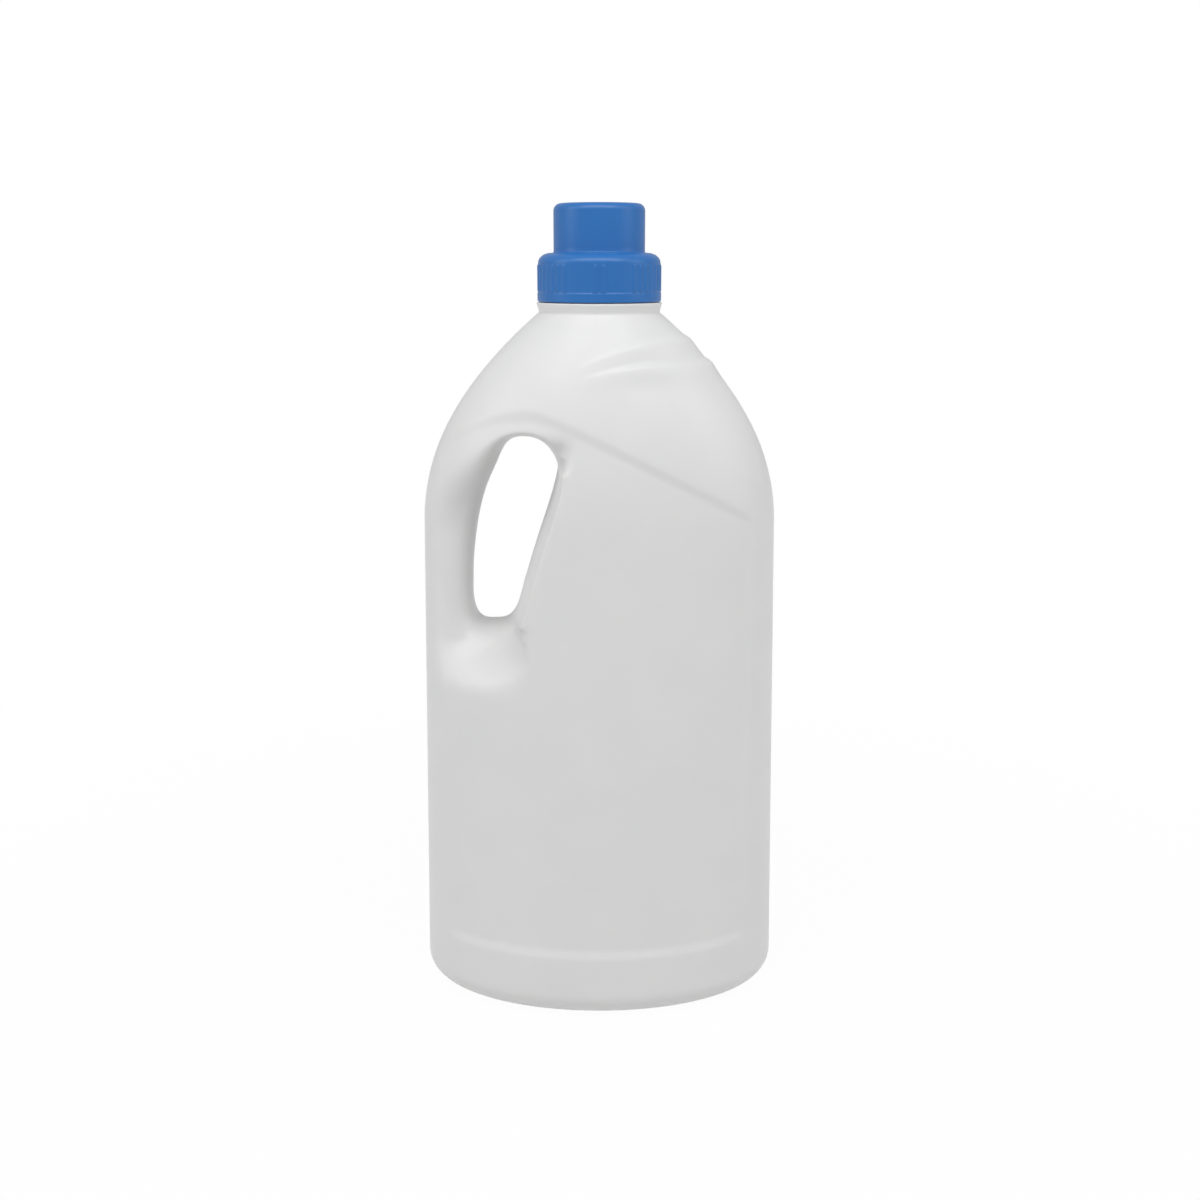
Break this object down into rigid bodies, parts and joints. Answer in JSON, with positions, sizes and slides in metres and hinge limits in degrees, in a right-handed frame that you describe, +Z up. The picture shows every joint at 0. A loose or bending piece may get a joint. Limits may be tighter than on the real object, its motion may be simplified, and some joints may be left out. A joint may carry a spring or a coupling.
{
  "type": "detergent bottle with handle and screw cap",
  "caption": "Tall white blow-moulded plastic bottle with an oval body, a moulded-in handle round a finger hole, a pressed-in label panel and a blue stepped screw cap.",
  "frame": {"origin": "centre of the base, on the plane that the bottle stands on", "axes": "+Z up through the neck, front towards -Y, handle towards -X, +X to the right of the front view"},
  "size_m": [0.1326, 0.086, 0.2896],
  "materials": {
    "bottle": "satin white polyethylene",
    "spout": "satin natural white",
    "seal": "foam, matt",
    "cap": "semi-gloss blue"
  },
  "bodies": {
    "bottle": {"bottle": "bottle", "pouring_spout": "spout"},
    "seal": {"sealing_ring": "seal"},
    "cap": {"cap": "cap"}
  },
  "joints": [
    {"name": "cap_lift", "type": "slide", "parent": "bottle", "child": "seal", "axis": [0, 0, 1], "range_m": [0, 0.0071]},
    {"name": "cap_turn", "type": "hinge", "parent": "seal", "child": "cap", "pos_m": [0, 0, 0.263], "axis": [0, 0, 1], "range_deg": [0, 630]}
  ],
  "couplings": [
    {"joint": "cap_lift", "follows": "cap_turn", "m_per_rad": 0.00063662}
  ]
}
